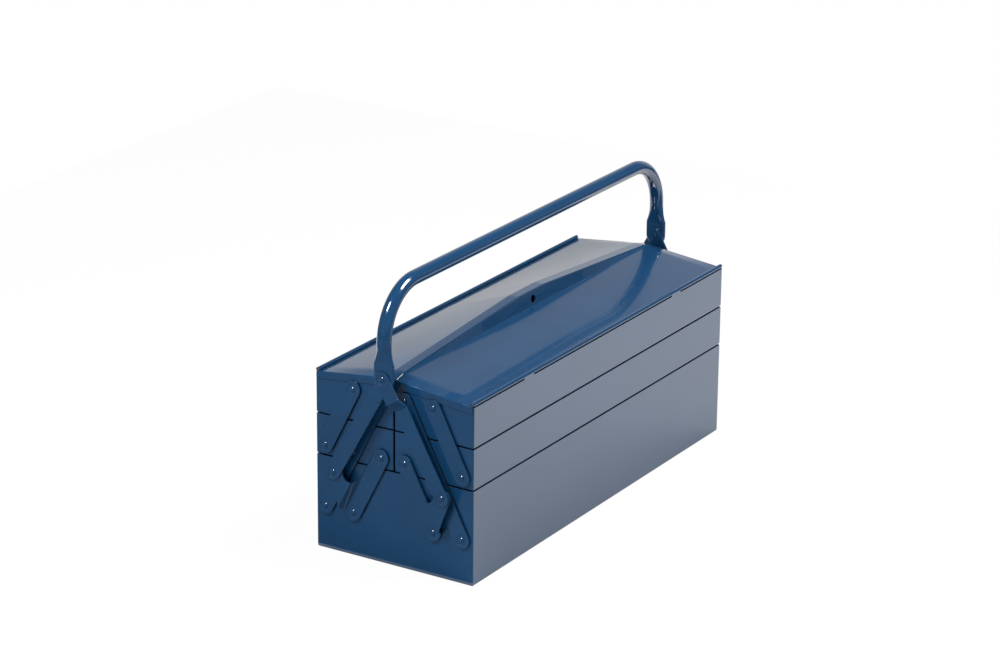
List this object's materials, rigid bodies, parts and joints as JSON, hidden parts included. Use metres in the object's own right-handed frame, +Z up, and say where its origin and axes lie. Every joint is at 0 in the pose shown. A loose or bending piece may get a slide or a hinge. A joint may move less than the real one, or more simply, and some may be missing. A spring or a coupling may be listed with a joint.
{
  "type": "toolbox",
  "caption": "Cantilever toolbox of painted sheet steel whose trays fan out on riveted arms under a folding bail handle.",
  "frame": {"origin": "centre of the closed box's footprint, on the floor", "axes": "+X along the box's length, +Y from the front long side to the rear one, +Z up"},
  "size_m": [0.5926, 0.2, 0.325],
  "materials": {
    "blue_enamel": "gloss",
    "steel_pin": "bright drawn wire"
  },
  "bodies": {
    "base": {"base_box": "blue_enamel", "base_rivets": "blue_enamel"},
    "front_long_arms": {"front_long_arm_left": "blue_enamel", "front_long_arm_right": "blue_enamel"},
    "front_lower_links": {"front_lower_link_left": "blue_enamel", "front_lower_link_right": "blue_enamel", "front_lobe_rivet_tails": "blue_enamel"},
    "front_middle_tray": {"front_middle_tray": "blue_enamel", "front_middle_tray_rivets": "blue_enamel"},
    "front_upper_tray": {"front_upper_tray": "blue_enamel", "front_upper_tray_rivets": "blue_enamel", "front_hinge_pin": "steel_pin"},
    "front_upper_links": {"front_upper_link_left": "blue_enamel", "front_upper_link_right": "blue_enamel"},
    "front_lid": {"front_lid": "blue_enamel"},
    "front_handle_arms": {"front_handle_arm_left": "blue_enamel", "front_handle_arm_right": "blue_enamel", "front_lobe_rivets": "blue_enamel"},
    "rear_long_arms": {"rear_long_arm_left": "blue_enamel", "rear_long_arm_right": "blue_enamel"},
    "rear_lower_links": {"rear_lower_link_left": "blue_enamel", "rear_lower_link_right": "blue_enamel", "rear_lobe_rivet_tails": "blue_enamel"},
    "rear_middle_tray": {"rear_middle_tray": "blue_enamel", "rear_middle_tray_rivets": "blue_enamel"},
    "rear_upper_tray": {"rear_upper_tray": "blue_enamel", "rear_upper_tray_rivets": "blue_enamel", "rear_hinge_pin": "steel_pin"},
    "rear_upper_links": {"rear_upper_link_left": "blue_enamel", "rear_upper_link_right": "blue_enamel"},
    "rear_lid": {"rear_lid": "blue_enamel"},
    "rear_handle_arms": {"rear_handle_arm_left": "blue_enamel", "rear_handle_arm_right": "blue_enamel", "rear_lobe_rivets": "blue_enamel"},
    "handle_carrier": {"handle_rivets": "blue_enamel"},
    "handle": {"handle": "blue_enamel"}
  },
  "joints": [
    {"name": "open_trays", "type": "hinge", "parent": "base", "child": "front_long_arms", "pos_m": [0, -0.087, 0.052], "axis": [1, 0, 0], "range_deg": [0, 53.97]},
    {"name": "rear_long_arms_turn", "type": "hinge", "parent": "base", "child": "rear_long_arms", "pos_m": [0, 0.087, 0.052], "axis": [-1, 0, 0], "range_deg": [0, 53.97]},
    {"name": "front_lower_links_turn", "type": "hinge", "parent": "base", "child": "front_lower_links", "pos_m": [0, -0.051, 0.052], "axis": [1, 0, 0], "range_deg": [0, 53.97]},
    {"name": "front_middle_tray_turn", "type": "hinge", "parent": "front_long_arms", "child": "front_middle_tray", "pos_m": [0, -0.051, 0.1227], "axis": [-1, 0, 0], "range_deg": [0, 53.97]},
    {"name": "front_upper_tray_turn", "type": "hinge", "parent": "front_long_arms", "child": "front_upper_tray", "pos_m": [0, -0.015, 0.1934], "axis": [-1, 0, 0], "range_deg": [0, 53.97]},
    {"name": "front_upper_links_turn", "type": "hinge", "parent": "front_middle_tray", "child": "front_upper_links", "pos_m": [0, -0.087, 0.1227], "axis": [1, 0, 0], "range_deg": [0, 53.97]},
    {"name": "rear_lower_links_turn", "type": "hinge", "parent": "base", "child": "rear_lower_links", "pos_m": [0, 0.051, 0.052], "axis": [-1, 0, 0], "range_deg": [0, 53.97]},
    {"name": "rear_middle_tray_turn", "type": "hinge", "parent": "rear_long_arms", "child": "rear_middle_tray", "pos_m": [0, 0.051, 0.1227], "axis": [1, 0, 0], "range_deg": [0, 53.97]},
    {"name": "rear_upper_tray_turn", "type": "hinge", "parent": "rear_long_arms", "child": "rear_upper_tray", "pos_m": [0, 0.015, 0.1934], "axis": [1, 0, 0], "range_deg": [0, 53.97]},
    {"name": "rear_upper_links_turn", "type": "hinge", "parent": "rear_middle_tray", "child": "rear_upper_links", "pos_m": [0, 0.087, 0.1227], "axis": [-1, 0, 0], "range_deg": [0, 53.97]},
    {"name": "handle_sinks", "type": "slide", "parent": "base", "child": "handle_carrier", "axis": [0, 0, -1], "range_m": [0, 0.05704]},
    {"name": "front_handle_arms_spread", "type": "hinge", "parent": "handle_carrier", "child": "front_handle_arms", "pos_m": [0, 0, 0.2211], "axis": [-1, 0, 0], "range_deg": [0, 15.7]},
    {"name": "rear_handle_arms_spread", "type": "hinge", "parent": "handle_carrier", "child": "rear_handle_arms", "pos_m": [0, 0, 0.2211], "axis": [1, 0, 0], "range_deg": [0, 15.7]},
    {"name": "handle_tilt", "type": "hinge", "parent": "handle_carrier", "child": "handle", "pos_m": [0, 0, 0.2211], "axis": [1, 0, 0], "range_deg": [-80, 80]},
    {"name": "front_lid_hinge", "type": "hinge", "parent": "front_upper_tray", "child": "front_lid", "pos_m": [0, -0.09765, 0.20575], "axis": [1, 0, 0], "range_deg": [0, 110]},
    {"name": "rear_lid_hinge", "type": "hinge", "parent": "rear_upper_tray", "child": "rear_lid", "pos_m": [0, 0.09765, 0.20575], "axis": [-1, 0, 0], "range_deg": [0, 110]}
  ],
  "couplings": [
    {"joint": "rear_long_arms_turn", "follows": "open_trays", "ratio": 1},
    {"joint": "front_lower_links_turn", "follows": "open_trays", "ratio": 1},
    {"joint": "front_middle_tray_turn", "follows": "open_trays", "ratio": 1},
    {"joint": "front_upper_tray_turn", "follows": "open_trays", "ratio": 1},
    {"joint": "front_upper_links_turn", "follows": "open_trays", "ratio": 1},
    {"joint": "rear_lower_links_turn", "follows": "open_trays", "ratio": 1},
    {"joint": "rear_middle_tray_turn", "follows": "open_trays", "ratio": 1},
    {"joint": "rear_upper_tray_turn", "follows": "open_trays", "ratio": 1},
    {"joint": "rear_upper_links_turn", "follows": "open_trays", "ratio": 1},
    {"joint": "handle_sinks", "follows": "open_trays", "m_per_rad": 0.06045},
    {"joint": "front_handle_arms_spread", "follows": "open_trays", "ratio": 0.29063},
    {"joint": "rear_handle_arms_spread", "follows": "open_trays", "ratio": 0.29063}
  ]
}
